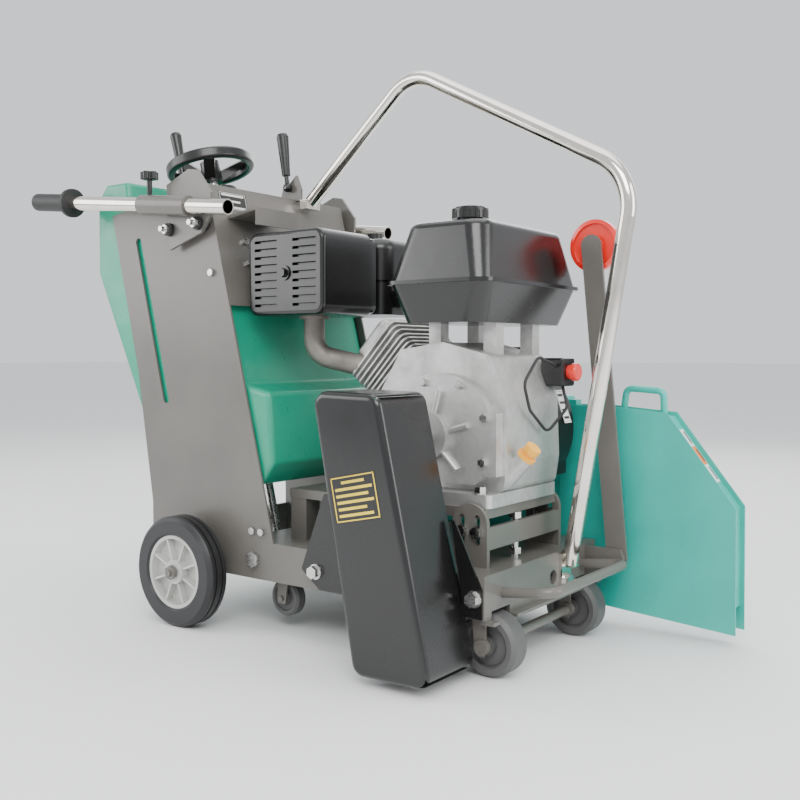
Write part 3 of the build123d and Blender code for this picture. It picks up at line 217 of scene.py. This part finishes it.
MATERIALS = {
    "frame_paint": powder_paint("grey_frame_paint", GREY),
    "tank_green": tank_polyethylene("green_polyethylene", GREEN),
    "guard_paint": powder_paint("teal_guard_paint", TEAL, roughness=0.42, coat=0.2),
    "black_paint": powder_paint("black_gloss_paint", BLACK, roughness=0.24, coat=0.30, dust=0.012),
    "chrome": plated("warm_chrome", (0.78, 0.745, 0.68), 0.11),
    "zinc": plated("zinc_plate", (0.62, 0.62, 0.60), 0.26, 0.07),
    "steel": plated("turned_steel", (0.42, 0.42, 0.42), 0.30, 0.08),
    "cast_alloy": cast_metal("cast_alloy", (0.62, 0.62, 0.60)),
    "elbow_iron": cast_metal("heat_stained_iron", (0.26, 0.24, 0.215), 0.58, 0.0009),
    "rubber": moulded("black_rubber", (0.016, 0.016, 0.016), 0.55, 0.0004),
    "tyre": moulded("tyre_rubber", (0.017, 0.017, 0.018), 0.42, 0.0004, scale=300),
    "hub_plastic": moulded("grey_hub_plastic", (0.50, 0.50, 0.475), 0.42, 0.0004),
    "small_wheel": moulded("grey_wheel_rubber", (0.085, 0.085, 0.083), 0.50, 0.0004),
    "black_plastic": moulded("black_plastic", (0.006, 0.006, 0.006), 0.30, 0.0002, coat=0.15),
    "red_plastic": moulded("red_plastic", (0.80, 0.022, 0.012), 0.24, 0.0001, coat=0.5),
    "yellow_plastic": moulded("yellow_plastic", (0.95, 0.42, 0.03), 0.32, 0.0002, coat=0.2),
    "brass": plated("brass_fitting", (0.72, 0.52, 0.22), 0.24, 0.06),
}


def finish_cad_nodes():
    """Give each carried-over CAD node the detailed material of its slot."""
    for part in frame["record"]["subparts"]:
        mesh_object = NODES[part["node"]]
        slots = mesh_object.data.materials
        slots.clear()
        slots.append(MATERIALS[part["material_slot"]])


finish_cad_nodes()

# ---------------------------------------------------------------- mesh helpers


def new_piece(name, mesh, body, slot, *materials):
    """Turn a bmesh into a named object that rides on a CAD body."""
    data = bpy.data.meshes.new(name)
    bmesh.ops.recalc_face_normals(mesh, faces=mesh.faces)
    mesh.to_mesh(data)
    mesh.free()
    piece = bpy.data.objects.new(name, data)
    bpy.context.collection.objects.link(piece)
    for material in materials:
        data.materials.append(material)
    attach(piece, body)
    return piece


STICKER_THICKNESS = 0.00024


def add_slab(mesh, centre, across, up, width, height, depth, material=0):
    """A thin closed plate that stands proud of the surface by its depth."""
    normal = across.cross(up).normalized()
    vertices = []
    for level in (-depth, depth):
        for side, rise in ((-1, -1), (1, -1), (1, 1), (-1, 1)):
            place = centre + across * side * width / 2 + up * rise * height / 2 + normal * level
            vertices.append(mesh.verts.new(place))
    quads = [(0, 1, 2, 3), (4, 5, 6, 7), (0, 1, 5, 4), (1, 2, 6, 5), (2, 3, 7, 6), (3, 0, 4, 7)]
    for quad in quads:
        face = mesh.faces.new([vertices[index] for index in quad])
        face.material_index = material


def label(name, body, centre, across, up, size, colors, rows, border=True):
    """A generic sticker: a field, an optional border and plain bars where lines would be."""
    width, height = size
    proud = STICKER_THICKNESS / 2
    field, ink = colors
    mesh = bmesh.new()
    across = across.normalized()
    up = up.normalized()
    normal = across.cross(up).normalized()
    add_slab(mesh, centre, across, up, width, height, proud)
    above = centre + normal * proud * 1.2
    line = min(width, height) * 0.025
    if border:
        for side in (-1, 1):
            edge = above + up * side * height * 0.45
            add_slab(mesh, edge, across, up, width * 0.94, line, proud, 1)
        for side in (-1, 1):
            edge = above + across * side * width * 0.46
            add_slab(mesh, edge, across, up, line, height * 0.9, proud, 1)
    bar = height * 0.30 / len(rows) + line * 0.3
    for index, (share, shift) in enumerate(rows):
        rise = height * (0.34 - 0.68 * index / max(len(rows) - 1, 1))
        place = above + up * rise + across * shift * width
        add_slab(mesh, place, across, up, width * share, bar, proud, 1)
    return new_piece(name, mesh, body, "black_plastic", field, ink)


STICKER_BLACK = moulded("sticker_black", (0.012, 0.012, 0.012), 0.30, 0.00005)
STICKER_YELLOW = moulded("sticker_yellow", YELLOW, 0.34, 0.00005)
STICKER_WHITE = moulded("sticker_white", WHITE, 0.34, 0.00005)
STICKER_ORANGE = moulded("sticker_orange", (0.90, 0.20, 0.03), 0.34, 0.00005)
YELLOW_ON_BLACK = (STICKER_BLACK, STICKER_YELLOW)
WHITE_ON_BLACK = (STICKER_BLACK, STICKER_WHITE)
BLACK_ON_YELLOW = (STICKER_YELLOW, STICKER_BLACK)
BLACK_ON_WHITE = (STICKER_WHITE, STICKER_BLACK)
BLACK_ON_ORANGE = (STICKER_ORANGE, STICKER_BLACK)

# Bars of each label, from the top: share of the width, and shift of the middle.
BELT_COVER_ROWS = [(0.5, 0), (0.8, 0), (0.7, -0.05), (0.8, 0), (0.62, -0.08), (0.75, -0.02)]
FUEL_TANK_ROWS = [(0.7, 0), (0.8, 0), (0.55, -0.1)]
PANEL_ROWS = [(0.8, 0), (0.5, 0), (0.8, 0)]
GUARD_ROWS = [(0.7, 0), (0.6, 0)]
SHROUD_ROWS = [(0.7, 0), (0.7, 0), (0.5, -0.1), (0.7, 0)]

# Guard labels: how far down the sloped edge, and the colours.
GUARD_SLOPE_LENGTH = 0.150
GUARD_STICKERS = [(0.35, BLACK_ON_WHITE), (0.50, BLACK_ON_ORANGE), (0.65, BLACK_ON_WHITE)]

X = Vector((1, 0, 0))
Y = Vector((0, 1, 0))
Z = Vector((0, 0, 1))
COVER_UP = Vector((-0.203, 0, 0.979))
COVER_ACROSS = Vector((0.979, 0, 0.203))
TANK_SLOPE = Vector((0, 0.21, 1)).normalized()
PROBE_GAP = 0.1


def stick_label(name, node, body, start, direction, up, size, colors, rows, border=True):
    """Lay a label on the face of a CAD node that a line from start meets first."""
    mesh_object = NODES[node]
    to_world = mesh_object.matrix_world
    to_local = to_world.inverted()
    hit, place, normal, _ = mesh_object.ray_cast(to_local @ start, to_local.to_3x3() @ direction)
    if not hit:
        raise ValueError(f"{name}: no face of {node} on the line")
    normal = (to_world.to_3x3() @ normal).normalized()
    upright = (up - normal * up.dot(normal)).normalized()
    across = upright.cross(normal)
    label(name, body, to_world @ place, across, upright, size, colors, rows, border)


def label_belt_cover():
    low, high = corners("belt_cover")
    place = Vector((low.x + 0.212, low.y, high.z - 0.155))
    size = (0.088, 0.072)
    name = "belt_cover_label"
    label(name, "chassis", place, COVER_ACROSS, COVER_UP, size, YELLOW_ON_BLACK, BELT_COVER_ROWS)


def label_fuel_tank():
    low, high = corners("fuel_tank")
    seam = low.z + 0.065
    place = Vector(((low.x + high.x) / 2 - 0.030, low.y + 0.0205, seam + 0.048))
    size = (0.062, 0.036)
    name = "fuel_tank_label"
    label(name, "chassis", place, X, TANK_SLOPE, size, BLACK_ON_YELLOW, FUEL_TANK_ROWS)


def label_column_panel():
    node = "column_panel"
    low, high = corners(node)
    start = Vector((high.x + PROBE_GAP, low.y + 0.055, low.z + 0.195))
    size = (0.070, 0.034)
    name = "column_panel_label"
    stick_label(name, node, "chassis", start, -X, Z, size, WHITE_ON_BLACK, PANEL_ROWS)


def label_guard():
    node = "guard_front"
    low, high = corners(node)
    middle_y = (low.y + high.y) / 2
    size = (0.036, 0.030)
    for index, (share, colors) in enumerate(GUARD_STICKERS):
        back = GUARD_SLOPE_LENGTH * (1 - share)
        start = Vector((high.x - back, middle_y, high.z + PROBE_GAP))
        name = f"guard_label_{index + 1}"
        stick_label(name, node, "guard_front", start, -Z, Y, size, colors, GUARD_ROWS, False)


def label_fan_shroud():
    node = "fan_shroud"
    low, high = corners(node)
    middle = (low + high) / 2
    start = Vector((high.x + PROBE_GAP, middle.y, middle.z + 0.02))
    size = (0.026, 0.060)
    name = "fan_shroud_label"
    stick_label(name, node, "chassis", start, -X, Z, size, BLACK_ON_WHITE, SHROUD_ROWS)


label_belt_cover()
label_fuel_tank()
label_column_panel()
label_guard()
label_fan_shroud()

# ---------------------------------------------------------------- stage, light and camera


FLOOR_REACH = 60


def make_stage():
    mesh = bmesh.new()
    signs = ((-1, -1), (1, -1), (1, 1), (-1, 1))
    places = [(FLOOR_REACH * right, FLOOR_REACH * back, 0) for right, back in signs]
    mesh.faces.new([mesh.verts.new(place) for place in places])
    data = bpy.data.meshes.new("studio_floor")
    mesh.to_mesh(data)
    mesh.free()
    floor = bpy.data.objects.new("studio_floor", data)
    bpy.context.collection.objects.link(floor)
    shader = Shader("floor_paper", (0.86, 0.86, 0.86), 0.75)
    shader.rough(shader.ramp(shader.noise(3, 3), 0.3, 0.7, 0.70, 0.82))
    data.materials.append(shader.material)


def area_light(name, place, target, size, power):
    """A rectangular soft light that points at the target."""
    light = bpy.data.lights.new(name, "AREA")
    light.shape = "RECTANGLE"
    light.size = size[0]
    light.size_y = size[1]
    light.energy = power
    lamp = bpy.data.objects.new(name, light)
    bpy.context.collection.objects.link(lamp)
    lamp.location = place
    lamp.rotation_euler = (Vector(target) - Vector(place)).to_track_quat("-Z", "Y").to_euler()


def make_lights():
    middle = (0.0, 0.0, 0.5)
    area_light("key_light", (1.9, -2.4, 2.6), middle, (2.2, 1.6), 95)
    area_light("fill_light", (-2.6, -2.2, 1.6), middle, (2.4, 2.0), 60)
    area_light("front_light", (3.2, 0.6, 1.5), middle, (1.6, 2.0), 45)
    area_light("top_light", (0.2, 0.2, 3.4), middle, (3.0, 3.0), 60)
    area_light("back_light", (-1.0, 3.0, 2.2), middle, (3.0, 1.8), 45)
    world = bpy.data.worlds.new("studio")
    bpy.context.scene.world = world
    world.use_nodes = True
    background = world.node_tree.nodes["Background"]
    background.inputs["Color"].default_value = (0.95, 0.97, 1.0, 1)
    background.inputs["Strength"].default_value = 1.05


def make_camera():
    lens = bpy.data.cameras.new("photo_camera")
    lens.lens = CAMERA_LENS
    lens.sensor_width = 36
    lens.dof.use_dof = False
    camera = bpy.data.objects.new("photo_camera", lens)
    bpy.context.collection.objects.link(camera)
    camera.location = CAMERA_PLACE
    camera.rotation_euler = (math.radians(90 - CAMERA_DIP), 0, math.radians(CAMERA_TURN))
    bpy.context.scene.camera = camera


make_stage()
make_lights()
make_camera()
